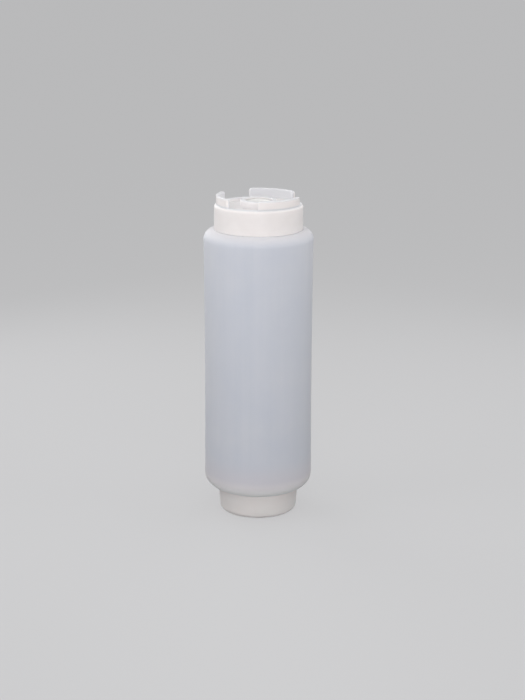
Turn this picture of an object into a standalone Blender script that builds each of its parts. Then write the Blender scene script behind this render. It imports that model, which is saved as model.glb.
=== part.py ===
"""Condiment squeeze bottle that is filled at its foot and pours from its head.

A blow-moulded bottle has an open neck at each end. A screw cap with a silicone valve,
held by a ring, closes the top, and a plain screw cap, which the bottle stands on,
closes the refill neck below. A flat gasket seals each cap. Lengths are in metres,
+Z is up, and the origin is the centre of the foot.
"""
from math import asin, cos, pi, radians, sin

import bmesh
import bpy
from mathutils import Matrix

# Faces round a turned piece, and along the curves of its profile
TURN_STEPS = 48
VALVE_STEPS = 36
LARGE_ARC_STEPS = 7
SMALL_ARC_STEPS = 3
WAIST_STEPS = 6
SHARP_ANGLE = radians(35)

# Gaps
SEAT_GAP = 0.0003
SHOULDER_GAP = 0.0005
HEEL_GAP = 0.0006
CUT_OVERRUN = 0.001
WELD_DISTANCE = 0.00001

# Bottle
BODY_RADIUS = 0.0351
BODY_HEIGHT = 0.1714
BODY_WALL = 0.0011
WAIST_DEPTH = 0.0004
SHOULDER_RADIUS = 0.0066
HEEL_RADIUS = 0.009
NECK_WALL = 0.0016
NECK_FILLET = 0.001
LIP_ROUNDING = 0.0004
TOP_NECK_RADIUS = 0.0251
TOP_NECK_HEIGHT = 0.0106
REFILL_NECK_RADIUS = 0.0222
REFILL_NECK_HEIGHT = 0.0119

# Thread room between a neck and its cap, and the gaskets
THREAD_DEPTH = 0.0011
GASKET_THICKNESS = 0.0012
GASKET_LAP = 0.0007

# Dispensing cap
SKIRT_WALL = 0.0017
SKIRT_DRAFT = 0.0002
SKIRT_EDGE = 0.0005
DECK_THICKNESS = 0.0016
RECESS_DEPTH = 0.0022
RECESS_FILLET = 0.0006
BOSS_RADIUS = 0.012
BOSS_DRAFT = 0.0004
BOSS_HEIGHT = 0.0026
BOSS_WALL = 0.0016
BOSS_TOP_THICKNESS = 0.0013
BOSS_EDGE = 0.0007
POUR_RADIUS = 0.0086
POUR_CHAMFER = 0.0005

# Guard that keeps the valve off the table when the bottle stands on its head
GUARD_COUNT = 3
GUARD_ARC = radians(74)
GUARD_TURN = radians(66.6)
GUARD_HEIGHT = 0.0056
GUARD_WALL = 0.0024
GUARD_SETBACK = 0.0011
GUARD_EDGE = 0.0007
GUARD_CORNER = 0.0018

# Silicone valve and the ring that holds it
VALVE_FLANGE_THICKNESS = 0.0015
VALVE_HEAD_MARGIN = 0.0011
VALVE_HEAD_RISE = 0.0006
VALVE_HEAD_EDGE = 0.0008
VALVE_DISH_DEPTH = 0.0016
VALVE_CENTRE_THICKNESS = 0.0009
VALVE_GROOVE_WIDTH = 0.0006
VALVE_SLEEVE_WALL = 0.0005
RETAINER_WALL = 0.0026
RETAINER_LIP = 0.0016
RETAINER_LIP_THICKNESS = 0.0012

# Refill cap
FOOT_RECESS_DEPTH = 0.0008
FOOT_RING_WIDTH = 0.0026
FOOT_BEVEL = 0.0006
REFILL_FLOOR_THICKNESS = 0.0018
REFILL_WALL = 0.0015
REFILL_DRAFT = 0.0011
REFILL_EDGE_RADIUS = 0.0028
REFILL_RIM_EDGE = 0.0004

# Heights, from the foot up
REFILL_FLOOR_Z = FOOT_RECESS_DEPTH + REFILL_FLOOR_THICKNESS
REFILL_GASKET_Z = REFILL_FLOOR_Z + SEAT_GAP
REFILL_LIP_Z = REFILL_GASKET_Z + GASKET_THICKNESS + SEAT_GAP
HEEL_Z = REFILL_LIP_Z + REFILL_NECK_HEIGHT
SHOULDER_Z = HEEL_Z + BODY_HEIGHT
TOP_LIP_Z = SHOULDER_Z + TOP_NECK_HEIGHT
TOP_GASKET_Z = TOP_LIP_Z + SEAT_GAP
DECK_UNDERSIDE_Z = TOP_GASKET_Z + GASKET_THICKNESS + SEAT_GAP
DECK_Z = DECK_UNDERSIDE_Z + DECK_THICKNESS
RIM_Z = DECK_Z + RECESS_DEPTH
BOSS_TOP_Z = RIM_Z + BOSS_HEIGHT
GUARD_TOP_Z = RIM_Z + GUARD_HEIGHT
VALVE_SEAT_Z = BOSS_TOP_Z - BOSS_TOP_THICKNESS

# Radii that follow from the necks
SKIRT_BORE = TOP_NECK_RADIUS + THREAD_DEPTH + SEAT_GAP
SKIRT_RADIUS = SKIRT_BORE + SKIRT_WALL
GUARD_OUTER = SKIRT_RADIUS - GUARD_SETBACK
GUARD_INNER = GUARD_OUTER - GUARD_WALL
BOSS_BORE = BOSS_RADIUS - BOSS_WALL
REFILL_BORE = REFILL_NECK_RADIUS + THREAD_DEPTH + SEAT_GAP
REFILL_RADIUS = REFILL_BORE + REFILL_WALL

QUARTER_TURN = pi / 2


def clear_scene():
    for thing in list(bpy.data.objects):
        bpy.data.objects.remove(thing)


def new_collection(name):
    collection = bpy.data.collections.new(name)
    bpy.context.scene.collection.children.link(collection)
    return collection


def plastic(name, colour, roughness, transmission=0.0):
    """A plain moulded material."""
    material = bpy.data.materials.new(name)
    material.use_nodes = True
    shader = material.node_tree.nodes["Principled BSDF"]
    shader.inputs["Base Color"].default_value = (*colour, 1.0)
    shader.inputs["Roughness"].default_value = roughness
    shader.inputs["Metallic"].default_value = 0.0
    shader.inputs["Transmission Weight"].default_value = transmission
    material.diffuse_color = (*colour, 1.0)
    return material


def arc(centre_r, centre_z, radius, start, end, steps):
    """Points of an arc in a turned profile, as (radius, height), both ends included."""
    points = []
    for step in range(steps + 1):
        angle = start + (end - start) * step / steps
        points.append((centre_r + radius * cos(angle), centre_z + radius * sin(angle)))
    return points


def settle(thing):
    """Turns an object's modifiers into its mesh and shades it smooth between sharp edges."""
    graph = bpy.context.evaluated_depsgraph_get()
    mesh = bpy.data.meshes.new_from_object(thing.evaluated_get(graph))
    mesh.name = thing.name
    thing.modifiers.clear()
    thing.data = mesh
    mesh.shade_smooth()
    mesh.set_sharp_from_angle(angle=SHARP_ANGLE)


def turned(name, profile, closed, steps, material, collection):
    """A profile in the XZ plane, outer side running down, turned about Z."""
    mesh = bpy.data.meshes.new(name)
    edges = [(index, index + 1) for index in range(len(profile) - 1)]
    if closed:
        edges.append((len(profile) - 1, 0))
    mesh.from_pydata([(r, 0, z) for r, z in profile], edges, [])
    mesh.materials.append(material)
    thing = bpy.data.objects.new(name, mesh)
    collection.objects.link(thing)
    screw = thing.modifiers.new("turn", "SCREW")
    screw.axis = "Z"
    screw.angle = 2 * pi
    screw.steps = steps
    screw.render_steps = steps
    screw.use_merge_vertices = True
    screw.merge_threshold = WELD_DISTANCE
    return thing


def prism(name, outline, near, far, collection):
    """An outline in the YZ plane, extruded along X from near to far."""
    curve = bpy.data.curves.new(name, "CURVE")
    curve.dimensions = "2D"
    curve.fill_mode = "BOTH"
    curve.extrude = (far - near) / 2
    spline = curve.splines.new("POLY")
    spline.points.add(len(outline) - 1)
    for point, (y, z) in zip(spline.points, outline):
        point.co = (y, z, 0, 1)
    spline.use_cyclic_u = True
    flat = bpy.data.objects.new(name, curve)
    collection.objects.link(flat)
    to_upright = Matrix(((0, 0, 1, (near + far) / 2), (1, 0, 0, 0), (0, 1, 0, 0), (0, 0, 0, 1)))
    flat.matrix_world = to_upright
    graph = bpy.context.evaluated_depsgraph_get()
    mesh = bpy.data.meshes.new_from_object(flat.evaluated_get(graph))
    welded = bmesh.new()
    welded.from_mesh(mesh)
    bmesh.ops.remove_doubles(welded, verts=welded.verts, dist=WELD_DISTANCE)
    bmesh.ops.recalc_face_normals(welded, faces=welded.faces)
    welded.to_mesh(mesh)
    welded.free()
    solid = bpy.data.objects.new(name, mesh)
    solid.matrix_world = to_upright
    bpy.data.objects.remove(flat)
    collection.objects.link(solid)
    solid.hide_render = True
    solid.display_type = "WIRE"
    return solid


def cut(target, cutter):
    boolean = target.modifiers.new("cut " + cutter.name, "BOOLEAN")
    boolean.operation = "DIFFERENCE"
    boolean.solver = "EXACT"
    boolean.object = cutter


def waist_side(radius, low, high, going_down):
    """The gently waisted side wall between the heel's and the shoulder's curves."""
    points = []
    for step in range(1, WAIST_STEPS):
        share = step / WAIST_STEPS
        points.append((radius - WAIST_DEPTH * sin(pi * share), low + (high - low) * share))
    return points[::-1] if going_down else points


def lip(inner, outer, height, rounding, upward):
    """A neck's rounded lip, from its outer side to its bore if upward, or back if not."""
    sign = 1 if upward else -1
    edge = height - sign * rounding
    outside = arc(outer - rounding, edge, rounding, 0, sign * QUARTER_TURN, SMALL_ARC_STEPS)
    inside = arc(inner + rounding, edge, rounding, sign * QUARTER_TURN, sign * pi, SMALL_ARC_STEPS)
    return outside + inside


def bottle_profile():
    """Outer side down from the top lip, then the inner side back up."""
    shoulder_r = BODY_RADIUS - SHOULDER_RADIUS
    shoulder_z = SHOULDER_Z - SHOULDER_RADIUS
    heel_r = BODY_RADIUS - HEEL_RADIUS
    heel_z = HEEL_Z + HEEL_RADIUS
    inner_radius = BODY_RADIUS - BODY_WALL
    top_bore = TOP_NECK_RADIUS - NECK_WALL
    refill_bore = REFILL_NECK_RADIUS - NECK_WALL
    top_lip = lip(top_bore, TOP_NECK_RADIUS, TOP_LIP_Z, LIP_ROUNDING, True)
    refill_lip = lip(refill_bore, REFILL_NECK_RADIUS, REFILL_LIP_Z, LIP_ROUNDING, False)
    half_lip = SMALL_ARC_STEPS + 1
    outer = top_lip[:half_lip][::-1]
    outer += arc(TOP_NECK_RADIUS + NECK_FILLET, SHOULDER_Z + NECK_FILLET, NECK_FILLET,
                 pi, 3 * QUARTER_TURN, SMALL_ARC_STEPS)
    outer += arc(shoulder_r, shoulder_z, SHOULDER_RADIUS, QUARTER_TURN, 0, LARGE_ARC_STEPS)
    outer += waist_side(BODY_RADIUS, heel_z, shoulder_z, True)
    outer += arc(heel_r, heel_z, HEEL_RADIUS, 0, -QUARTER_TURN, LARGE_ARC_STEPS)
    outer += arc(REFILL_NECK_RADIUS + NECK_FILLET, HEEL_Z - NECK_FILLET, NECK_FILLET,
                 QUARTER_TURN, pi, SMALL_ARC_STEPS)
    outer += refill_lip
    inner = [(refill_bore, HEEL_Z + BODY_WALL)]
    inner += arc(heel_r, heel_z, HEEL_RADIUS - BODY_WALL, -QUARTER_TURN, 0, LARGE_ARC_STEPS)
    inner += waist_side(inner_radius, heel_z, shoulder_z, False)
    inner += arc(shoulder_r, shoulder_z, SHOULDER_RADIUS - BODY_WALL, 0, QUARTER_TURN,
                 LARGE_ARC_STEPS)
    inner += [(top_bore, SHOULDER_Z - BODY_WALL)]
    inner += top_lip[half_lip:][::-1]
    return outer + inner


def dispensing_cap_profile():
    """Guard's outer side, skirt, deck underside, boss, deck and guard's inner side."""
    boss_top_radius = BOSS_RADIUS - BOSS_DRAFT
    points = arc(GUARD_OUTER - GUARD_EDGE, GUARD_TOP_Z - GUARD_EDGE, GUARD_EDGE,
                 QUARTER_TURN, 0, SMALL_ARC_STEPS)
    points += arc(GUARD_OUTER, RIM_Z - GUARD_SETBACK, GUARD_SETBACK,
                  QUARTER_TURN, 0, SMALL_ARC_STEPS)
    skirt_foot = SHOULDER_Z + SHOULDER_GAP
    points += arc(SKIRT_RADIUS + SKIRT_DRAFT - SKIRT_EDGE, skirt_foot + SKIRT_EDGE, SKIRT_EDGE,
                  0, -QUARTER_TURN, SMALL_ARC_STEPS)
    points += [
        (SKIRT_BORE, skirt_foot),
        (SKIRT_BORE, DECK_UNDERSIDE_Z),
        (BOSS_BORE, DECK_UNDERSIDE_Z),
        (BOSS_BORE, VALVE_SEAT_Z),
        (POUR_RADIUS, VALVE_SEAT_Z),
        (POUR_RADIUS, BOSS_TOP_Z - POUR_CHAMFER),
        (POUR_RADIUS + POUR_CHAMFER, BOSS_TOP_Z),
    ]
    points += arc(boss_top_radius - BOSS_EDGE, BOSS_TOP_Z - BOSS_EDGE, BOSS_EDGE,
                  QUARTER_TURN, 0, SMALL_ARC_STEPS)
    points += [
        (BOSS_RADIUS, DECK_Z + RECESS_FILLET),
        (BOSS_RADIUS + RECESS_FILLET, DECK_Z),
        (GUARD_INNER - RECESS_FILLET, DECK_Z),
        (GUARD_INNER, DECK_Z + RECESS_FILLET),
    ]
    points += arc(GUARD_INNER + GUARD_EDGE, GUARD_TOP_Z - GUARD_EDGE, GUARD_EDGE,
                  pi, QUARTER_TURN, SMALL_ARC_STEPS)
    return points


def guard_gap(index, collection):
    """A cutter for one gap of the guard, flared so that the segments' corners are round."""
    gap_angle = 2 * pi / GUARD_COUNT - GUARD_ARC
    half = (GUARD_OUTER + GUARD_INNER) / 2 * sin(gap_angle / 2)
    corner_z = GUARD_TOP_Z - GUARD_CORNER
    flare = arc(half + GUARD_CORNER, corner_z, GUARD_CORNER, pi, QUARTER_TURN, SMALL_ARC_STEPS)
    right = [(half, RIM_Z)] + flare + [(half + GUARD_CORNER, GUARD_TOP_Z + CUT_OVERRUN)]
    outline = right + [(-y, z) for y, z in reversed(right)]
    near = (BOSS_RADIUS + GUARD_INNER) / 2
    cutter = prism(f"guard_gap_{index + 1}", outline, near, SKIRT_RADIUS + CUT_OVERRUN, collection)
    turn = GUARD_TURN + (index + 0.5) * 2 * pi / GUARD_COUNT
    cutter.matrix_world = Matrix.Rotation(turn, 4, "Z") @ cutter.matrix_world
    return cutter


def valve_profile():
    """Dished head, rolling groove and flange, from the axis round to the axis."""
    flange_top = VALVE_SEAT_Z - SEAT_GAP
    flange_foot = flange_top - VALVE_FLANGE_THICKNESS
    flange_radius = BOSS_BORE - SEAT_GAP
    head_radius = POUR_RADIUS - VALVE_HEAD_MARGIN
    head_top = flange_top + VALVE_HEAD_RISE
    rim_radius = head_radius - VALVE_HEAD_EDGE
    dish_radius = (rim_radius ** 2 + VALVE_DISH_DEPTH ** 2) / (2 * VALVE_DISH_DEPTH)
    dish_centre_z = head_top - VALVE_DISH_DEPTH + dish_radius
    dome_radius = dish_radius + VALVE_CENTRE_THICKNESS
    dish_end = asin(rim_radius / dish_radius) - QUARTER_TURN
    dome_start = asin(rim_radius / dome_radius) - QUARTER_TURN
    groove_foot = flange_foot + VALVE_SLEEVE_WALL
    groove_radius = head_radius + VALVE_GROOVE_WIDTH
    points = arc(0, dish_centre_z, dish_radius, -QUARTER_TURN, dish_end, LARGE_ARC_STEPS)
    points += [
        (head_radius, head_top - VALVE_HEAD_EDGE / 2),
        (head_radius, groove_foot),
        (groove_radius, groove_foot),
        (groove_radius, flange_top),
        (flange_radius, flange_top),
        (flange_radius, flange_foot),
        (head_radius, flange_foot),
    ]
    points += arc(0, dish_centre_z, dome_radius, dome_start, -QUARTER_TURN, LARGE_ARC_STEPS)
    return points


def retainer_profile():
    """A sleeve up inside the boss with a lip that bears on the underside of the deck."""
    sleeve_top = VALVE_SEAT_Z - 2 * SEAT_GAP - VALVE_FLANGE_THICKNESS
    sleeve_radius = BOSS_BORE - SEAT_GAP
    bore = sleeve_radius - RETAINER_WALL
    lip_top = DECK_UNDERSIDE_Z - SEAT_GAP
    lip_radius = BOSS_BORE + RETAINER_LIP
    lip_foot = lip_top - RETAINER_LIP_THICKNESS
    return [
        (sleeve_radius, sleeve_top),
        (sleeve_radius, lip_top),
        (lip_radius, lip_top),
        (lip_radius, lip_foot),
        (bore, lip_foot),
        (bore, sleeve_top),
    ]


def gasket_profile(inner, outer, foot):
    top = foot + GASKET_THICKNESS
    return [(outer, top), (outer, foot), (inner, foot), (inner, top)]


def refill_cap_profile():
    """Skirt, rounded foot and ring it stands on, then the floor and the bore."""
    rim = HEEL_Z - HEEL_GAP
    top_radius = REFILL_RADIUS + REFILL_DRAFT
    ring_outer = REFILL_RADIUS - REFILL_EDGE_RADIUS
    ring_inner = ring_outer - FOOT_RING_WIDTH
    points = [(0, REFILL_FLOOR_Z)]
    points += [(REFILL_BORE, REFILL_FLOOR_Z), (REFILL_BORE + REFILL_DRAFT, rim)]
    points += [(top_radius - REFILL_RIM_EDGE, rim), (top_radius, rim - REFILL_RIM_EDGE)]
    points += arc(ring_outer, REFILL_EDGE_RADIUS, REFILL_EDGE_RADIUS, 0, -QUARTER_TURN,
                  LARGE_ARC_STEPS)
    points += [
        (ring_inner, 0),
        (ring_inner - FOOT_BEVEL, FOOT_RECESS_DEPTH),
        (0, FOOT_RECESS_DEPTH),
    ]
    return points


def build():
    clear_scene()
    parts = new_collection("condiment_squeeze_bottle")
    cutters = new_collection("cutters")
    milky = plastic("milky_bottle_plastic", (0.80, 0.82, 0.86), 0.35, 0.3)
    white = plastic("white_cap_plastic", (0.90, 0.87, 0.86), 0.38)
    silicone = plastic("translucent_silicone", (0.83, 0.82, 0.80), 0.5, 0.2)
    ring_plastic = plastic("ring_plastic", (0.84, 0.83, 0.82), 0.4)
    rubber = plastic("gasket_rubber", (0.74, 0.73, 0.71), 0.6)
    refill_white = plastic("refill_cap_plastic", (0.86, 0.84, 0.83), 0.38)

    bottle = turned("bottle", bottle_profile(), True, TURN_STEPS, milky, parts)
    cap = turned("dispensing_cap", dispensing_cap_profile(), True, TURN_STEPS, white, parts)
    for index in range(GUARD_COUNT):
        cut(cap, guard_gap(index, cutters))
    valve = turned("silicone_valve", valve_profile(), False, VALVE_STEPS, silicone, parts)
    ring = turned("valve_retainer", retainer_profile(), True, VALVE_STEPS, ring_plastic, parts)
    top_gasket = turned(
        "dispensing_gasket",
        gasket_profile(
            TOP_NECK_RADIUS - NECK_WALL - GASKET_LAP, TOP_NECK_RADIUS + GASKET_LAP, TOP_GASKET_Z
        ),
        True, TURN_STEPS, rubber, parts,
    )
    refill_cap = turned("refill_cap", refill_cap_profile(), False, TURN_STEPS, refill_white, parts)
    refill_gasket = turned(
        "refill_gasket",
        gasket_profile(
            REFILL_NECK_RADIUS - NECK_WALL - GASKET_LAP,
            REFILL_NECK_RADIUS + GASKET_LAP,
            REFILL_GASKET_Z,
        ),
        True, TURN_STEPS, rubber, parts,
    )
    for thing in (bottle, cap, valve, ring, top_gasket, refill_cap, refill_gasket):
        settle(thing)
    valve.parent = cap
    ring.parent = cap


build()
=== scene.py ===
"""Looks of a two-ended condiment squeeze bottle: finished pieces, floor, light and camera.

Every piece is turned again on finer steps than the frame's solids, with rounded edges, screw
threads, a slit valve and moulding marks. Main sizes come from the frame's boxes, and the
others are named here. Lengths are in metres, +Z is up, and the origin is the foot's centre.
"""
from math import atan2, ceil, cos, hypot, pi, radians, sin, sqrt, tan

import bmesh
import bpy
from mathutils import Matrix, Vector


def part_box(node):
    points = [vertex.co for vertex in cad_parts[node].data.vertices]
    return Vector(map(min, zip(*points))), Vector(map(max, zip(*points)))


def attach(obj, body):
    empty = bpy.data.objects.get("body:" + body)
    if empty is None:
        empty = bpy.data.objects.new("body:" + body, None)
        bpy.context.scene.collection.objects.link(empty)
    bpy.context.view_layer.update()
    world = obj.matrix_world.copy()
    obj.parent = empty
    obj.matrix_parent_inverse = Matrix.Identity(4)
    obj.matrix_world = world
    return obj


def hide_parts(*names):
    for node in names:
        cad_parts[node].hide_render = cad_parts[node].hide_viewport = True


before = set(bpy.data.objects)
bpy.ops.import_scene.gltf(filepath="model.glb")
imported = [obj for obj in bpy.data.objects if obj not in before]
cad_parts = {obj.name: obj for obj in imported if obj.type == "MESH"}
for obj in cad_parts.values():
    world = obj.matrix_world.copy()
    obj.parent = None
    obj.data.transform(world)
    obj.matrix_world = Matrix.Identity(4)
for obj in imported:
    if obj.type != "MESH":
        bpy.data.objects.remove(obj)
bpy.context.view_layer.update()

QUARTER_TURN = pi / 2
FULL_TURN = 2 * pi

# Fineness of the meshes
COLUMNS = 192
VALVE_COLUMNS = 128
ARC_STEP = 0.0007
LEAST_ARC_STEPS = 4
WALL_STEP = 0.0026
THREAD_STEP = 0.0002
SHARP_ANGLE = radians(38)

# Lengths that differ by less than this count as the same
TOUCH = 0.00001

# Bottle
bottle_low, bottle_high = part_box("bottle")
BODY_RADIUS = bottle_high.x
TOP_LIP_Z = bottle_high.z
REFILL_LIP_Z = bottle_low.z
TOP_NECK_RADIUS = 0.0251
TOP_NECK_HEIGHT = 0.0106
REFILL_NECK_RADIUS = 0.0222
REFILL_NECK_HEIGHT = 0.0119
NECK_WALL = 0.0016
NECK_FILLET = 0.001
LIP_ROUNDING = 0.0004
BORE_EDGE = 0.0006
BODY_WALL = 0.0011
SHOULDER_RADIUS = 0.0066
HEEL_RADIUS = 0.009
WAIST_DEPTH = 0.0004
SHOULDER_Z = TOP_LIP_Z - TOP_NECK_HEIGHT
HEEL_Z = REFILL_LIP_Z + REFILL_NECK_HEIGHT
SEAM_ANGLES = (radians(8), radians(188))
SEAM_WIDTH = 0.0005
SEAM_RISE = 0.00005
SEAM_COLUMN_SHARES = (-1, -0.5, 0, 0.5, 1)
SEAM_FADE = 4
WALL_UNEVENNESS = 0.00006

# Ripples of the body's wall: waves round it, how far they twist over its height, and their phase
RIPPLES = ((2, 5, 0), (3, -7, 1), (5, 3, 2))

# Dispensing cap
cap_low, cap_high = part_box("dispensing_cap")
SKIRT_DRAFT = 0.0002
SKIRT_RADIUS = cap_high.x - SKIRT_DRAFT

# The finished skirt goes this much below the solid's foot, to just above the shoulder
SKIRT_REACH = 0.00048
SKIRT_FOOT_Z = cap_low.z - SKIRT_REACH

GUARD_TOP_Z = cap_high.z
GUARD_HEIGHT = 0.0056
RIM_Z = GUARD_TOP_Z - GUARD_HEIGHT
RIM_ROUNDING = 0.002
RECESS_DEPTH = 0.0022
DECK_Z = RIM_Z - RECESS_DEPTH
DECK_THICKNESS = 0.0016
DECK_UNDERSIDE_Z = DECK_Z - DECK_THICKNESS
SKIRT_WALL = 0.0017
SKIRT_BORE = SKIRT_RADIUS - SKIRT_WALL
SKIRT_EDGE = 0.0002
BOSS_RADIUS = 0.012
BOSS_DRAFT = 0.0004
BOSS_HEIGHT = 0.0026
BOSS_TOP_Z = RIM_Z + BOSS_HEIGHT
BOSS_WALL = 0.0016
BOSS_BORE = BOSS_RADIUS - BOSS_WALL
BOSS_TOP_THICKNESS = 0.0013
BOSS_EDGE = 0.0007
VALVE_SEAT_Z = BOSS_TOP_Z - BOSS_TOP_THICKNESS
POUR_RADIUS = 0.0086
POUR_EDGE = 0.0005
RECESS_FILLET = 0.0006
RECESS_EDGE = 0.0003
INNER_FILLET = 0.0004
FINE_EDGE = 0.00015

# Guard
GUARD_COUNT = 3
GUARD_ARC = radians(74)
GUARD_TURN = radians(66.6)
GUARD_WALL = 0.0024
GUARD_SETBACK = 0.0011
GUARD_EDGE = 0.0007
GUARD_CORNER = 0.0018
GUARD_LEDGE = 0.00005
GUARD_ROOT = 0.0009
GUARD_BENDS = 40
EDGE_SEGMENTS = 5
CORNER_SEGMENTS = 8
ROUND_PROFILE = 0.5
GUARD_OUTER = SKIRT_RADIUS - GUARD_SETBACK
GUARD_INNER = GUARD_OUTER - GUARD_WALL

# Screw threads: six turns to the inch, right-handed on both necks
PITCH = 0.0254 / 6
THREAD_CREST = 0.0007
THREAD_FLANK = 0.0007
THREAD_DEPTH = 0.0011
THREAD_ROOM = 0.0003
THREAD_RUN_OUT = radians(28)

# Valve and the ring that holds it
valve_low, valve_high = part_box("silicone_valve")
ring_low, ring_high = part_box("valve_retainer")
HEAD_MARGIN = 0.0011
HEAD_EDGE = 0.0008
HEAD_ROUNDING = 0.00035
DISH_DEPTH = 0.0016
DISH_THICKNESS = 0.0009
GROOVE_WIDTH = 0.0006
SLEEVE_WALL = 0.0005
FLANGE_THICKNESS = 0.0015
SLIT_LENGTH = 0.0078
SLIT_WIDTH = 0.00012
SLIT_DEPTH = 0.0004
SLIT_TURNS = (radians(20), radians(110))
CUT_OVERRUN = 0.001
RING_WALL = 0.0026
RING_LIP_THICKNESS = 0.0012

# Gaskets
GASKET_LAP = 0.0007
GASKET_EDGE = 0.00025

# Refill cap
refill_low, refill_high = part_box("refill_cap")
REFILL_RIM_Z = refill_high.z
REFILL_TOP_RADIUS = refill_high.x
FOOT_Z = refill_low.z
REFILL_DRAFT = 0.0011
REFILL_WALL = 0.0015
REFILL_FOOT_ROUNDING = 0.0028
REFILL_RIM_EDGE = 0.0004
FOOT_RECESS_DEPTH = 0.0008
FOOT_RING_WIDTH = 0.0026
FOOT_BEVEL = 0.0006
REFILL_FLOOR_THICKNESS = 0.0018
GATE_RADIUS = 0.0017
GATE_DEPTH = 0.0003
GATE_STUB_RADIUS = 0.0005
GATE_STUB_HEIGHT = 0.0002

# Camera, from a fit of the turned outline to the photograph
FRAME_WIDTH = 525
FRAME_HEIGHT = 700
FOCAL_PIXELS = 1535
AXIS_PIXEL = 258.3
SENSOR = 36
CAMERA_PITCH = radians(15.38)
CAMERA_ROLL = radians(0.12)
CAMERA_DISTANCE = 0.9975
AIM_HEIGHT = 0.1075


def linear(red, green, blue):
    """A colour given as display values from 0 to 255, as the shaders take it."""
    channels = []
    for value in (red, green, blue):
        share = value / 255
        channels.append(share / 12.92 if share <= 0.04045 else ((share + 0.055) / 1.055) ** 2.4)
    return (*channels, 1.0)


# Floor and surroundings
FLOOR_SIZE = 40
FLOOR_SHADED = linear(112, 112, 113)
FLOOR_GLOW = linear(180, 180, 181)
FLOOR_BOUNCE = linear(155, 155, 156)
FLOOR_ROUGHNESS = 0.9
BACKDROP = linear(196, 196, 197)
AMBIENT = 0.2

# The middle of a noise's values, which ranged() spreads out
NOISE_LOW = 0.3
NOISE_HIGH = 0.7

# Flow lines of the milky plastic: their noise's grain, detail and stretch, and their tone's share
FLOW_LINES = (0.004, 3, 40)
FLOW_SHARE = 0.35
FLOW_TONE = linear(206, 210, 219)

# Painted light at the body's foot, lighter downwards where little light reaches under the heel:
# heights above its underside, in heel radii, where each starts and is full
HEEL_PAINTED_LIGHT = (
    (3.0, 1.0, linear(216, 214, 220)),
    (1.4, 0.8, linear(225, 222, 225)),
    (1.0, 0.3, linear(250, 248, 250)),
)
# Painted shade: greyer and a little darker on the shoulder, which faces the light from above
SHOULDER_PAINTED_SHADE = linear(212, 211, 215)

# Painted shade on the dispensing cap: darker inside its guard, and greyer on its rim, the guard's
# inner faces and the raised tops that face the light from above
RECESS_PAINTED_SHADE = linear(235, 232, 232)
EDGE_PAINTED_SHADE = linear(220, 220, 223)
EDGE_BLEND = 0.0012

# Softboxes: name, angle to the right of the camera's side, distance from the axis, height, size, power
LAMP_AIM_HEIGHT = 0.13
LAMPS = (
    ("left", radians(-71), 0.30, 0.36, 0.25, 0.48),
    ("front", radians(6), 0.30, 0.30, 0.40, 0.46),
    ("right", radians(82), 0.30, 0.36, 0.25, 0.34),
    ("low_front", radians(0), 0.80, 0.10, 0.5, 2.36),
    ("back_left", radians(-140), 0.45, 0.36, 0.4, 0.97),
    ("back_right", radians(140), 0.45, 0.36, 0.4, 0.50),
    ("overhead", radians(0), 0.05, 0.95, 0.9, 1.45),
)


def eased(value):
    """0 below 0, 1 above 1, and a smooth step between."""
    value = min(max(value, 0.0), 1.0)
    return value * value * (3 - 2 * value)


def arc(centre_r, centre_z, radius, start, end):
    """Points of an arc in a turned outline, both ends included."""
    steps = max(LEAST_ARC_STEPS, ceil(abs(end - start) * radius / ARC_STEP))
    points = []
    for step in range(steps + 1):
        angle = start + (end - start) * step / steps
        points.append((centre_r + radius * cos(angle), centre_z + radius * sin(angle)))
    return points


def rounded(corners, closed=True):
    """An outline through (radius, height, rounding) corners, each rounded by a tangent arc."""
    points = []
    count = len(corners)
    for index, (r, z, rounding) in enumerate(corners):
        at_end = not closed and index in (0, count - 1)
        if rounding == 0 or at_end:
            points.append((r, z))
            continue
        here = Vector((r, z))
        before = (Vector(corners[index - 1][:2]) - here).normalized()
        after = (Vector(corners[(index + 1) % count][:2]) - here).normalized()
        half = before.angle(after) / 2
        centre = here + (before + after).normalized() * rounding / sin(half)
        first = here + before * rounding / tan(half) - centre
        last = here + after * rounding / tan(half) - centre
        start = atan2(first.y, first.x)
        sweep = first.angle_signed(last)
        points += arc(centre.x, centre.y, rounding, start, start - sweep)
    return points


def divided(points, closed, longest):
    """The outline with points added, so that no stretch is longer than longest(r, z) there."""
    fine = []
    ends = points[1:] + points[:1] if closed else points[1:]
    for (r, z), (next_r, next_z) in zip(points, ends):
        length = hypot(next_r - r, next_z - z)
        parts = max(1, ceil(length / longest((r + next_r) / 2, (z + next_z) / 2)))
        for part in range(parts):
            share = part / parts
            fine.append((r + (next_r - r) * share, z + (next_z - z) * share))
    if not closed:
        fine.append(points[-1])
    return fine


def column_angles(count, seams=()):
    """Angles of the columns round a turned piece, with closer ones at each seam."""
    step = FULL_TURN / count
    spread = SEAM_WIDTH / BODY_RADIUS
    angles = [index * step for index in range(count)]
    for seam in seams:
        angles = [angle for angle in angles if abs(angle - seam) > step / 2 + spread]
        angles += [seam + spread * share for share in SEAM_COLUMN_SHARES]
    return sorted(angles)


def plain(r, z, angle):
    return r


def revolve(name, outline, closed, angles, material, relief=plain):
    """An outline turned about Z, its outer side running down. relief gives each point's radius."""
    turned = bmesh.new()
    poles = {}
    columns = []
    for angle in angles:
        column = []
        for index, (r, z) in enumerate(outline):
            if r < TOUCH:
                if index not in poles:
                    poles[index] = turned.verts.new((0, 0, z))
                column.append(poles[index])
            else:
                radius = relief(r, z, angle)
                column.append(turned.verts.new((radius * cos(angle), radius * sin(angle), z)))
        columns.append(column)
    rows = len(outline) if closed else len(outline) - 1
    for column, neighbour in zip(columns, columns[1:] + columns[:1]):
        for row in range(rows):
            below = (row + 1) % len(outline)
            corners = (column[row], column[below], neighbour[below], neighbour[row])
            turned.faces.new(dict.fromkeys(corners))
    return new_piece(name, turned, material)


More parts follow.
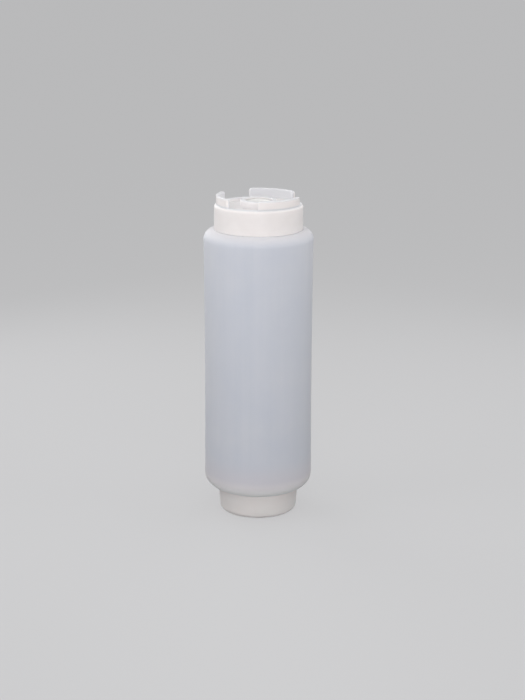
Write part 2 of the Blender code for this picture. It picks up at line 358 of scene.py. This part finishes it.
def new_piece(name, shape, material):
    """An object made from a bmesh, shaded smooth between its sharp edges."""
    mesh = bpy.data.meshes.new(name)
    shape.to_mesh(mesh)
    shape.free()
    mesh.materials.append(material)
    shade(mesh)
    piece = bpy.data.objects.new(name, mesh)
    bpy.context.scene.collection.objects.link(piece)
    return piece


def shade(mesh):
    mesh.shade_smooth()
    mesh.set_sharp_from_angle(angle=SHARP_ANGLE)


def combine(piece, operation, others):
    """Joins others to a piece, or cuts them out of it, and removes them."""
    for other in others:
        boolean = piece.modifiers.new(other.name, "BOOLEAN")
        boolean.operation = operation
        boolean.solver = "EXACT"
        boolean.object = other
    graph = bpy.context.evaluated_depsgraph_get()
    mesh = bpy.data.meshes.new_from_object(piece.evaluated_get(graph))
    mesh.name = piece.name
    piece.modifiers.clear()
    piece.data = mesh
    shade(mesh)
    for other in others:
        bpy.data.objects.remove(other)


def fit(piece, body, node):
    """Sets a finished piece in the place of its node."""
    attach(piece, body)
    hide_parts(node)


def thread(z, angle, base_z, first_turn, last_turn):
    """How fully a helical ridge stands at this place, from 0 to 1."""
    fullest = 0.0
    turn = ceil(first_turn - angle / FULL_TURN) + angle / FULL_TURN
    while turn <= last_turn:
        away = abs(z - base_z - PITCH * turn)
        height = 1 - eased((away - THREAD_CREST / 2) / THREAD_FLANK)
        run = min(turn - first_turn, last_turn - turn) * FULL_TURN / THREAD_RUN_OUT
        fullest = max(fullest, height * eased(run))
        turn += 1
    return fullest


# Where each ridge runs: its helix's height at angle 0, and its first and last turn
TOP_HELIX_RISE = 0.0025
TOP_HELIX_Z = SHOULDER_Z + TOP_HELIX_RISE
TOP_NECK_TURNS = (0.0, 1.4)
TOP_CAP_TURNS = (0.45, 2.02)
REFILL_HELIX_RISE = 0.0036
REFILL_HELIX_Z = REFILL_LIP_Z + REFILL_HELIX_RISE
REFILL_NECK_TURNS = (0.0, 1.4)
REFILL_CAP_TURNS = (0.0, 1.6)


def bottle_relief(r, z, angle):
    """The threads on the necks, and the waist, seams and slight unevenness of the body."""
    if abs(r - TOP_NECK_RADIUS) < TOUCH:
        return r + THREAD_DEPTH * thread(z, angle, TOP_HELIX_Z, *TOP_NECK_TURNS)
    if abs(r - REFILL_NECK_RADIUS) < TOUCH:
        return r + THREAD_DEPTH * thread(z, angle, REFILL_HELIX_Z, *REFILL_NECK_TURNS)
    share = (z - HEEL_Z - HEEL_RADIUS) / (SHOULDER_Z - SHOULDER_RADIUS - HEEL_Z - HEEL_RADIUS)
    if r < BODY_RADIUS - 2 * BODY_WALL or not 0 < share < 1:
        return r
    waist = sin(pi * share)
    ripple = sum(sin(waves * angle + twist * share + phase) for waves, twist, phase in RIPPLES)
    dent = (ripple / len(RIPPLES) + 1) / 2
    r -= (WAIST_DEPTH + WALL_UNEVENNESS * dent) * waist
    if r > BODY_RADIUS - BODY_WALL / 2:
        for seam in SEAM_ANGLES:
            away = abs(angle - seam) * BODY_RADIUS / SEAM_WIDTH
            r += SEAM_RISE * (1 - eased(away)) * min(1, SEAM_FADE * waist)
    return r


def make_bottle(material):
    inner = BODY_RADIUS - BODY_WALL
    top_bore = TOP_NECK_RADIUS - NECK_WALL
    refill_bore = REFILL_NECK_RADIUS - NECK_WALL
    outline = rounded([
        (TOP_NECK_RADIUS, TOP_LIP_Z, LIP_ROUNDING),
        (TOP_NECK_RADIUS, SHOULDER_Z, NECK_FILLET),
        (BODY_RADIUS, SHOULDER_Z, SHOULDER_RADIUS),
        (BODY_RADIUS, HEEL_Z, HEEL_RADIUS),
        (REFILL_NECK_RADIUS, HEEL_Z, NECK_FILLET),
        (REFILL_NECK_RADIUS, REFILL_LIP_Z, LIP_ROUNDING),
        (refill_bore, REFILL_LIP_Z, LIP_ROUNDING),
        (refill_bore, HEEL_Z + BODY_WALL, BORE_EDGE),
        (inner, HEEL_Z + BODY_WALL, HEEL_RADIUS - BODY_WALL),
        (inner, SHOULDER_Z - BODY_WALL, SHOULDER_RADIUS - BODY_WALL),
        (top_bore, SHOULDER_Z - BODY_WALL, BORE_EDGE),
        (top_bore, TOP_LIP_Z, LIP_ROUNDING),
    ])

    def longest(r, z):
        on_top_neck = abs(r - TOP_NECK_RADIUS) < TOUCH
        on_refill_neck = abs(r - REFILL_NECK_RADIUS) < TOUCH
        return THREAD_STEP if on_top_neck or on_refill_neck else WALL_STEP

    outline = divided(outline, True, longest)
    angles = column_angles(COLUMNS, SEAM_ANGLES)
    piece = revolve("bottle_moulding", outline, True, angles, material, bottle_relief)
    fit(piece, "bottle", "bottle")


def cap_relief(r, z, angle):
    """The thread inside the dispensing cap's skirt."""
    if abs(r - SKIRT_BORE) > TOUCH:
        return r
    crest = TOP_NECK_RADIUS + THREAD_ROOM
    return r + (crest - r) * thread(z, angle, TOP_HELIX_Z - PITCH / 2, *TOP_CAP_TURNS)


def guard_segment(index, material):
    """A bar with rounded edges and upper corners, bent to stand on the rim."""
    radius = (GUARD_OUTER + GUARD_INNER) / 2
    length = GUARD_ARC * radius
    wall = GUARD_WALL - 2 * GUARD_LEDGE
    height = GUARD_HEIGHT + GUARD_ROOT
    bar = bmesh.new()
    bmesh.ops.create_cube(bar, size=1, matrix=Matrix.Diagonal((length, wall, height, 1)))
    corners = []
    for edge in bar.edges:
        middle = (edge.verts[0].co + edge.verts[1].co) / 2
        if abs(middle.y) < TOUCH and middle.z > 0:
            corners.append(edge)
    bmesh.ops.bevel(bar, geom=corners, offset=GUARD_CORNER, segments=CORNER_SEGMENTS,
                    profile=ROUND_PROFILE, affect="EDGES")
    edges = [edge for edge in bar.edges if abs(edge.verts[0].co.y - edge.verts[1].co.y) < TOUCH
             and max(edge.verts[0].co.z, edge.verts[1].co.z) > TOUCH - height / 2]
    bmesh.ops.bevel(bar, geom=edges, offset=GUARD_EDGE, segments=EDGE_SEGMENTS,
                    profile=ROUND_PROFILE, affect="EDGES")
    for bend in range(1, GUARD_BENDS):
        place = Vector((length * (bend / GUARD_BENDS - 0.5), 0, 0))
        geometry = bar.verts[:] + bar.edges[:] + bar.faces[:]
        bmesh.ops.bisect_plane(bar, geom=geometry, plane_co=place, plane_no=(1, 0, 0))
    turn = GUARD_TURN + index * FULL_TURN / GUARD_COUNT
    for vertex in bar.verts:
        angle = turn + vertex.co.x / radius
        out = radius + vertex.co.y
        up = vertex.co.z + GUARD_TOP_Z - height / 2
        vertex.co = (out * cos(angle), out * sin(angle), up)
    bmesh.ops.recalc_face_normals(bar, faces=bar.faces)
    return new_piece(f"guard_{index + 1}", bar, material)


def make_dispensing_cap(material):
    outline = rounded([
        (SKIRT_RADIUS, RIM_Z, RIM_ROUNDING),
        (SKIRT_RADIUS + SKIRT_DRAFT, SKIRT_FOOT_Z, SKIRT_EDGE),
        (SKIRT_BORE, SKIRT_FOOT_Z, INNER_FILLET),
        (SKIRT_BORE, DECK_UNDERSIDE_Z, INNER_FILLET),
        (BOSS_BORE, DECK_UNDERSIDE_Z, FINE_EDGE),
        (BOSS_BORE, VALVE_SEAT_Z, FINE_EDGE),
        (POUR_RADIUS, VALVE_SEAT_Z, FINE_EDGE),
        (POUR_RADIUS, BOSS_TOP_Z, POUR_EDGE),
        (BOSS_RADIUS - BOSS_DRAFT, BOSS_TOP_Z, BOSS_EDGE),
        (BOSS_RADIUS, DECK_Z, RECESS_FILLET),
        (GUARD_INNER, DECK_Z, RECESS_FILLET),
        (GUARD_INNER, RIM_Z, RECESS_EDGE),
    ])

    def longest(r, z):
        return THREAD_STEP if abs(r - SKIRT_BORE) < TOUCH else WALL_STEP

    outline = divided(outline, True, longest)
    piece = revolve("dispensing_cap_moulding", outline, True, column_angles(COLUMNS), material,
                    cap_relief)
    combine(piece, "UNION", [guard_segment(index, material) for index in range(GUARD_COUNT)])
    fit(piece, "dispensing_cap", "dispensing_cap")


def slit_cutter(turn, centre_z, dish_radius, material):
    """A thin blade whose lower edge follows the dish of the valve."""
    reach = SLIT_LENGTH / 2
    radius = dish_radius + SLIT_DEPTH
    end = reach / radius
    low = arc(0, centre_z, radius, -QUARTER_TURN - end, -QUARTER_TURN + end)
    top = valve_high.z + CUT_OVERRUN
    outline = low + [(low[-1][0], top), (low[0][0], top)]
    blade = bmesh.new()
    near = [blade.verts.new((x, -SLIT_WIDTH / 2, z)) for x, z in outline]
    face = blade.faces.new(near)
    grown = bmesh.ops.extrude_face_region(blade, geom=[face])["geom"]
    moved = [item for item in grown if isinstance(item, bmesh.types.BMVert)]
    bmesh.ops.translate(blade, verts=moved, vec=(0, SLIT_WIDTH, 0))
    bmesh.ops.recalc_face_normals(blade, faces=blade.faces)
    bmesh.ops.rotate(blade, verts=blade.verts, matrix=Matrix.Rotation(turn, 3, "Z"))
    return new_piece("slit", blade, material)


def make_valve(material):
    flange_radius = valve_high.x
    head_top = valve_high.z
    flange_top = VALVE_SEAT_Z - (BOSS_BORE - flange_radius)
    flange_foot = flange_top - FLANGE_THICKNESS
    head_radius = POUR_RADIUS - HEAD_MARGIN
    rim_radius = head_radius - HEAD_EDGE
    dish_radius = (rim_radius ** 2 + DISH_DEPTH ** 2) / (2 * DISH_DEPTH)
    dish_centre_z = head_top - DISH_DEPTH + dish_radius
    dome_radius = dish_radius + DISH_THICKNESS
    dome_centre_z = valve_low.z + dome_radius
    groove_foot = flange_foot + SLEEVE_WALL
    groove_radius = head_radius + GROOVE_WIDTH
    dish_reach = sqrt(dish_radius ** 2 - rim_radius ** 2)
    dome_reach = sqrt(dome_radius ** 2 - rim_radius ** 2)
    dish = arc(0, dish_centre_z, dish_radius, -QUARTER_TURN, -atan2(dish_reach, rim_radius))
    dome = arc(0, dome_centre_z, dome_radius, -atan2(dome_reach, rim_radius), -QUARTER_TURN)
    corners = [(r, z, 0) for r, z in dish]
    corners += [
        (head_radius, head_top, HEAD_ROUNDING),
        (head_radius, groove_foot, FINE_EDGE),
        (groove_radius, groove_foot, FINE_EDGE),
        (groove_radius, flange_top, FINE_EDGE),
        (flange_radius, flange_top, FINE_EDGE),
        (flange_radius, flange_foot, FINE_EDGE),
        (head_radius, flange_foot, FINE_EDGE),
    ]
    corners += [(r, z, 0) for r, z in dome]
    outline = rounded(corners, closed=False)
    piece = revolve("slit_valve", outline, False, column_angles(VALVE_COLUMNS), material)
    slits = [slit_cutter(turn, dish_centre_z, dish_radius, material) for turn in SLIT_TURNS]
    combine(piece, "DIFFERENCE", slits)
    fit(piece, "dispensing_cap", "silicone_valve")


def make_valve_ring(material):
    lip_radius = ring_high.x
    top = ring_high.z
    foot = ring_low.z
    sleeve_radius = valve_high.x
    bore = sleeve_radius - RING_WALL
    lip_top = foot + RING_LIP_THICKNESS
    outline = rounded([
        (sleeve_radius, top, FINE_EDGE),
        (sleeve_radius, lip_top, FINE_EDGE),
        (lip_radius, lip_top, FINE_EDGE),
        (lip_radius, foot, RECESS_EDGE),
        (bore, foot, RECESS_EDGE),
        (bore, top, RECESS_EDGE),
    ])
    piece = revolve("valve_ring", outline, True, column_angles(VALVE_COLUMNS), material)
    fit(piece, "dispensing_cap", "valve_retainer")


def make_gasket(name, node, neck_radius, material):
    low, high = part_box(node)
    inner = neck_radius - NECK_WALL - GASKET_LAP
    outline = rounded([
        (high.x, high.z, GASKET_EDGE),
        (high.x, low.z, GASKET_EDGE),
        (inner, low.z, GASKET_EDGE),
        (inner, high.z, GASKET_EDGE),
    ])
    piece = revolve(name, outline, True, column_angles(COLUMNS), material)
    fit(piece, node, node)


def refill_relief(r, z, angle):
    """The thread inside the refill cap's drafted wall."""
    bore = REFILL_TOP_RADIUS - REFILL_WALL
    if not bore - REFILL_DRAFT - TOUCH < r < bore + TOUCH or z > REFILL_RIM_Z - TOUCH:
        return r
    crest = REFILL_NECK_RADIUS + THREAD_ROOM
    return r + (crest - r) * thread(z, angle, REFILL_HELIX_Z - PITCH / 2, *REFILL_CAP_TURNS)


def make_refill_cap(material):
    floor_z = FOOT_Z + FOOT_RECESS_DEPTH + REFILL_FLOOR_THICKNESS
    bore = REFILL_TOP_RADIUS - REFILL_WALL
    draft = REFILL_DRAFT / (REFILL_RIM_Z - REFILL_FOOT_ROUNDING)
    foot_radius = REFILL_TOP_RADIUS - REFILL_DRAFT - draft * REFILL_FOOT_ROUNDING
    ring_outer = REFILL_TOP_RADIUS - REFILL_DRAFT - REFILL_FOOT_ROUNDING
    ring_inner = ring_outer - FOOT_RING_WIDTH
    underside = FOOT_Z + FOOT_RECESS_DEPTH
    outline = rounded([
        (0, floor_z, 0),
        (bore - REFILL_DRAFT, floor_z, INNER_FILLET),
        (bore, REFILL_RIM_Z, FINE_EDGE),
        (REFILL_TOP_RADIUS, REFILL_RIM_Z, REFILL_RIM_EDGE),
        (foot_radius, FOOT_Z, REFILL_FOOT_ROUNDING),
        (ring_inner, FOOT_Z, RECESS_EDGE),
        (ring_inner - FOOT_BEVEL, underside, RECESS_EDGE),
        (GATE_RADIUS, underside, FINE_EDGE),
        (GATE_RADIUS - GATE_DEPTH, underside + GATE_DEPTH, FINE_EDGE / 2),
        (GATE_STUB_RADIUS, underside + GATE_DEPTH, FINE_EDGE / 2),
        (GATE_STUB_RADIUS, underside + GATE_DEPTH - GATE_STUB_HEIGHT, FINE_EDGE / 2),
        (0, underside + GATE_DEPTH - GATE_STUB_HEIGHT, 0),
    ], closed=False)

    def longest(r, z):
        return THREAD_STEP if bore - REFILL_DRAFT < r < bore and z > floor_z else WALL_STEP

    outline = divided(outline, False, longest)
    piece = revolve("refill_cap_moulding", outline, False, column_angles(COLUMNS), material,
                    refill_relief)
    fit(piece, "refill_cap", "refill_cap")


def new_material(name):
    """A material with its tree, its shader and its coordinates, which are metres in the frame."""
    material = bpy.data.materials.new(name)
    material.use_nodes = True
    tree = material.node_tree
    shader = tree.nodes["Principled BSDF"]
    places = tree.nodes.new("ShaderNodeTexCoord").outputs["Object"]
    return material, tree, shader, places


def noise(tree, places, grain, detail, stretch=1.0):
    """Noise with features of about grain metres, drawn out stretch times along Z."""
    mapping = tree.nodes.new("ShaderNodeMapping")
    mapping.inputs["Scale"].default_value = (1, 1, 1 / stretch)
    tree.links.new(places, mapping.inputs["Vector"])
    texture = tree.nodes.new("ShaderNodeTexNoise")
    texture.inputs["Scale"].default_value = 1 / grain
    texture.inputs["Detail"].default_value = detail
    tree.links.new(mapping.outputs["Vector"], texture.inputs["Vector"])
    return texture.outputs["Fac"]


def ranged(tree, value, low, high, from_low=NOISE_LOW, from_high=NOISE_HIGH):
    """Spreads a stretch of values, by default the middle of a noise, over low to high."""
    node = tree.nodes.new("ShaderNodeMapRange")
    node.inputs["From Min"].default_value = from_low
    node.inputs["From Max"].default_value = from_high
    node.inputs["To Min"].default_value = low
    node.inputs["To Max"].default_value = high
    tree.links.new(value, node.inputs["Value"])
    return node.outputs["Result"]


def mixed(tree, share, first, second):
    """A mix of two colours, each a plain colour or another node's output."""
    node = tree.nodes.new("ShaderNodeMix")
    node.data_type = "RGBA"
    tree.links.new(share, node.inputs["Factor"])
    for socket, colour in ((node.inputs[6], first), (node.inputs[7], second)):
        if isinstance(colour, bpy.types.NodeSocket):
            tree.links.new(colour, socket)
        else:
            socket.default_value = colour
    return node.outputs[2]


def bumps(tree, shader, layers):
    """Stacked bumps from (height, distance) layers."""
    normal = None
    for height, distance in layers:
        node = tree.nodes.new("ShaderNodeBump")
        node.inputs["Strength"].default_value = 1.0
        node.inputs["Distance"].default_value = distance
        tree.links.new(height, node.inputs["Height"])
        if normal is not None:
            tree.links.new(normal, node.inputs["Normal"])
        normal = node.outputs["Normal"]
    tree.links.new(normal, shader.inputs["Normal"])


def between(tree, value, low, high):
    """0 where a value is at low, 1 at high, and a smooth step between."""
    share = ranged(tree, value, 0, 1, low, high)
    share.node.interpolation_type = "SMOOTHSTEP"
    return share


def product(tree, *shares):
    """All the shares multiplied together."""
    result = shares[0]
    for share in shares[1:]:
        node = tree.nodes.new("ShaderNodeMath")
        node.operation = "MULTIPLY"
        tree.links.new(result, node.inputs[0])
        tree.links.new(share, node.inputs[1])
        result = node.outputs["Value"]
    return result


def heights(tree, places):
    """How high each place is, in metres."""
    split = tree.nodes.new("ShaderNodeSeparateXYZ")
    tree.links.new(places, split.inputs["Vector"])
    return split.outputs["Z"]


def radii(tree, places):
    """How far from the axis each place is, in metres."""
    flat = tree.nodes.new("ShaderNodeVectorMath")
    flat.operation = "MULTIPLY"
    flat.inputs[1].default_value = (1, 1, 0)
    tree.links.new(places, flat.inputs[0])
    length = tree.nodes.new("ShaderNodeVectorMath")
    length.operation = "LENGTH"
    tree.links.new(flat.outputs["Vector"], length.inputs[0])
    return length.outputs["Value"]


def finished(slot, tones, clouds, patches, roughness, relief, gloss, glow, toned=None):
    """A clouded, patchily rough, finely bumped plastic or rubber that light enters a little.

    clouds and patches are noises, each a grain in metres and a detail. relief is a list of noises
    with their depths. glow is how much of the light enters, and how deep. toned changes the colour.
    """
    material, tree, shader, places = new_material(slot)
    base = mixed(tree, ranged(tree, noise(tree, places, *clouds), 0, 1), *tones)
    if toned is not None:
        base = toned(tree, places, base)
    tree.links.new(base, shader.inputs["Base Color"])
    rough = ranged(tree, noise(tree, places, *patches), *roughness)
    tree.links.new(rough, shader.inputs["Roughness"])
    bumps(tree, shader, [(noise(tree, places, *grain), depth) for grain, depth in relief])
    shader.inputs["Specular IOR Level"].default_value = gloss
    weight, depth = glow
    shader.inputs["Subsurface Weight"].default_value = weight
    shader.inputs["Subsurface Radius"].default_value = (1, 1, 1)
    shader.inputs["Subsurface Scale"].default_value = depth
    return material


def milky_flow_lines_and_painted_light(tree, places, base):
    """A little darker along the flow lines, with painted light towards the foot and painted shade at
    the shoulder.
    """
    flow = ranged(tree, noise(tree, places, *FLOW_LINES), 0, FLOW_SHARE)
    base = mixed(tree, flow, base, FLOW_TONE)
    height = heights(tree, places)
    # painted light: lighter towards the foot and under the heel
    for start, end, tone in HEEL_PAINTED_LIGHT:
        share = between(tree, height, HEEL_Z + start * HEEL_RADIUS, HEEL_Z + end * HEEL_RADIUS)
        base = mixed(tree, share, base, tone)
    # painted shade on the upward-facing shoulder
    high = between(tree, height, SHOULDER_Z - SHOULDER_RADIUS, SHOULDER_Z)
    return mixed(tree, high, base, SHOULDER_PAINTED_SHADE)


def milky_plastic():
    """Thin blow-moulded polyethylene: satin, clouded, with faint upright flow lines, painted light at
    the foot and painted shade at the shoulder.
    """
    return finished(
        "milky_bottle_plastic",
        tones=(linear(210, 213, 222), linear(215, 217, 224)),
        clouds=(0.03, 3),
        patches=(0.012, 4),
        roughness=(0.48, 0.58),
        relief=[(FLOW_LINES, 0.00002), ((0.0005, 2), 0.000006)],
        gloss=0.25,
        glow=(1.0, 0.001),
        toned=milky_flow_lines_and_painted_light,
    )


def cap_painted_shade(tree, places, base):
    """Painted shade: greyer inside the guard, on its inner faces and the rim, and on the tops of guard
    and boss.
    """
    height = heights(tree, places)
    radius = radii(tree, places)
    # painted shade inside the guard's recess
    inside = between(tree, radius, GUARD_INNER + GUARD_WALL / 4, GUARD_INNER)
    base = mixed(tree, inside, base, RECESS_PAINTED_SHADE)
    beyond_boss = between(tree, radius, BOSS_RADIUS, GUARD_INNER)
    guard_inside = product(
        tree,
        between(tree, height, RIM_Z, RIM_Z + EDGE_BLEND),
        beyond_boss,
        between(tree, radius, GUARD_OUTER - GUARD_EDGE, GUARD_INNER + GUARD_EDGE),
    )
    rim = product(
        tree,
        between(tree, height, RIM_Z - EDGE_BLEND, RIM_Z),
        between(tree, height, RIM_Z + EDGE_BLEND, RIM_Z),
        beyond_boss,
    )
    guard_top = between(tree, height, GUARD_TOP_Z - 2 * GUARD_EDGE, GUARD_TOP_Z)
    boss_top = product(
        tree,
        between(tree, height, BOSS_TOP_Z - BOSS_EDGE, BOSS_TOP_Z),
        between(tree, radius, GUARD_INNER, BOSS_RADIUS),
    )
    # painted shade on the rim, the guard's inner faces and the tops of guard and boss
    for share in (guard_inside, rim, guard_top, boss_top):
        base = mixed(tree, share, base, EDGE_PAINTED_SHADE)
    return base


def moulded_plastic(slot, tones, glow_depth, toned=None):
    """Injection-moulded plastic with faint sink marks and a fine texture."""
    return finished(
        slot,
        tones=tones,
        clouds=(0.009, 3),
        patches=(0.003, 4),
        roughness=(0.44, 0.56),
        relief=[((0.006, 2), 0.00002), ((0.00035, 3), 0.000012)],
        gloss=0.4,
        glow=(1.0, glow_depth),
        toned=toned,
    )


def white_cap_plastic():
    """Warm white of the dispensing cap, with painted shade in its recess, on its rim and on its tops.
    """
    tones = (linear(238, 233, 232), linear(242, 237, 236))
    return moulded_plastic("white_cap_plastic", tones, 0.001, cap_painted_shade)


def refill_cap_plastic():
    """The same finish in a warmer white, made lighter than the dispensing cap's as painted light for
    the dimmer light near the floor.
    """
    # painted light: lighter than the dispensing cap's white
    tones = (linear(253, 239, 237), linear(255, 242, 240))
    return moulded_plastic("refill_cap_plastic", tones, 0.001)


def ring_plastic():
    """Plain white of the valve's ring, which the photograph doesn't show."""
    tones = (linear(228, 227, 224), linear(233, 232, 230))
    return moulded_plastic("ring_plastic", tones, 0.0008)


def silicone():
    """Soft translucent rubber with a dry, dusty sheen."""
    return finished(
        "translucent_silicone",
        tones=(linear(243, 240, 237), linear(248, 246, 243)),
        clouds=(0.004, 3),
        patches=(0.001, 4),
        roughness=(0.42, 0.58),
        relief=[((0.0004, 3), 0.00001)],
        gloss=0.5,
        glow=(1.0, 0.0018),
    )


def rubber():
    """Matt pale gasket rubber with a fine pressed grain."""
    return finished(
        "gasket_rubber",
        tones=(linear(216, 214, 210), linear(226, 224, 221)),
        clouds=(0.003, 4),
        patches=(0.0012, 3),
        roughness=(0.55, 0.7),
        relief=[((0.00025, 2), 0.000015)],
        gloss=0.5,
        glow=(0.5, 0.0006),
    )


def seen_directly(tree):
    """1 for rays from the camera, from gloss and through clear things, and 0 for scattered light."""
    path = tree.nodes.new("ShaderNodeLightPath")
    share = path.outputs["Is Camera Ray"]
    for name in ("Is Glossy Ray", "Is Transmission Ray"):
        either = tree.nodes.new("ShaderNodeMath")
        either.operation = "MAXIMUM"
        tree.links.new(share, either.inputs[0])
        tree.links.new(path.outputs[name], either.inputs[1])
        share = either.outputs["Value"]
    return share


def floor_paint():
    """Plain pale studio floor. It is seen pale and shaded, but lights the object as a darker one."""
    material, tree, shader, _ = new_material("pale_floor")
    shader.inputs["Base Color"].default_value = FLOOR_SHADED
    shader.inputs["Roughness"].default_value = FLOOR_ROUGHNESS
    shader.inputs["Specular IOR Level"].default_value = 0.0
    shader.inputs["Emission Color"].default_value = FLOOR_GLOW
    shader.inputs["Emission Strength"].default_value = 1.0
    dark = tree.nodes.new("ShaderNodeBsdfDiffuse")
    dark.inputs["Color"].default_value = FLOOR_BOUNCE
    chosen = tree.nodes.new("ShaderNodeMixShader")
    tree.links.new(seen_directly(tree), chosen.inputs["Fac"])
    tree.links.new(dark.outputs["BSDF"], chosen.inputs[1])
    tree.links.new(shader.outputs["BSDF"], chosen.inputs[2])
    tree.links.new(chosen.outputs["Shader"], tree.nodes["Material Output"].inputs["Surface"])
    return material


def make_floor():
    shape = bmesh.new()
    bmesh.ops.create_grid(shape, x_segments=1, y_segments=1, size=FLOOR_SIZE / 2)
    new_piece("floor", shape, floor_paint())


def add_softbox(name, place, size, power):
    light = bpy.data.lights.new(name, "AREA")
    light.shape = "SQUARE"
    light.size = size
    light.energy = power
    lamp = bpy.data.objects.new(name, light)
    bpy.context.scene.collection.objects.link(lamp)
    lamp.location = place
    aim = Vector((0, 0, LAMP_AIM_HEIGHT)) - Vector(place)
    lamp.rotation_euler = aim.to_track_quat("-Z", "Y").to_euler()
    lamp.visible_camera = False


def light_scene():
    """Softboxes all round the object, stronger on its left, and soft surroundings."""
    for name, azimuth, reach, height, size, power in LAMPS:
        place = (reach * sin(azimuth), -reach * cos(azimuth), height)
        add_softbox(name, place, size, power)
    world = bpy.data.worlds.new("surroundings")
    world.use_nodes = True
    tree = world.node_tree
    ambient = tree.nodes["Background"]
    ambient.inputs["Color"].default_value = (1, 1, 1, 1)
    ambient.inputs["Strength"].default_value = AMBIENT
    pale = tree.nodes.new("ShaderNodeBackground")
    pale.inputs["Color"].default_value = BACKDROP
    chosen = tree.nodes.new("ShaderNodeMixShader")
    tree.links.new(seen_directly(tree), chosen.inputs["Fac"])
    tree.links.new(ambient.outputs["Background"], chosen.inputs[1])
    tree.links.new(pale.outputs["Background"], chosen.inputs[2])
    tree.links.new(chosen.outputs["Shader"], tree.nodes["World Output"].inputs["Surface"])
    bpy.context.scene.world = world


def add_camera():
    data = bpy.data.cameras.new("camera")
    data.sensor_width = SENSOR
    data.lens = FOCAL_PIXELS / FRAME_HEIGHT * SENSOR
    data.shift_x = (FRAME_WIDTH / 2 - AXIS_PIXEL) / FRAME_HEIGHT
    data.dof.use_dof = False
    camera = bpy.data.objects.new("camera", data)
    bpy.context.scene.collection.objects.link(camera)
    back = Vector((0, -cos(CAMERA_PITCH), sin(CAMERA_PITCH)))
    camera.location = Vector((0, 0, AIM_HEIGHT)) + back * CAMERA_DISTANCE
    turn = Matrix.Rotation(QUARTER_TURN - CAMERA_PITCH, 4, "X") @ Matrix.Rotation(CAMERA_ROLL, 4, "Z")
    camera.rotation_euler = turn.to_euler()
    bpy.context.scene.camera = camera


def build():
    seal_rubber = rubber()
    make_bottle(milky_plastic())
    make_dispensing_cap(white_cap_plastic())
    make_valve(silicone())
    make_valve_ring(ring_plastic())
    make_gasket("dispensing_seal", "dispensing_gasket", TOP_NECK_RADIUS, seal_rubber)
    make_refill_cap(refill_cap_plastic())
    make_gasket("refill_seal", "refill_gasket", REFILL_NECK_RADIUS, seal_rubber)
    make_floor()
    light_scene()
    add_camera()
    bpy.context.scene.view_settings.view_transform = "Standard"


build()
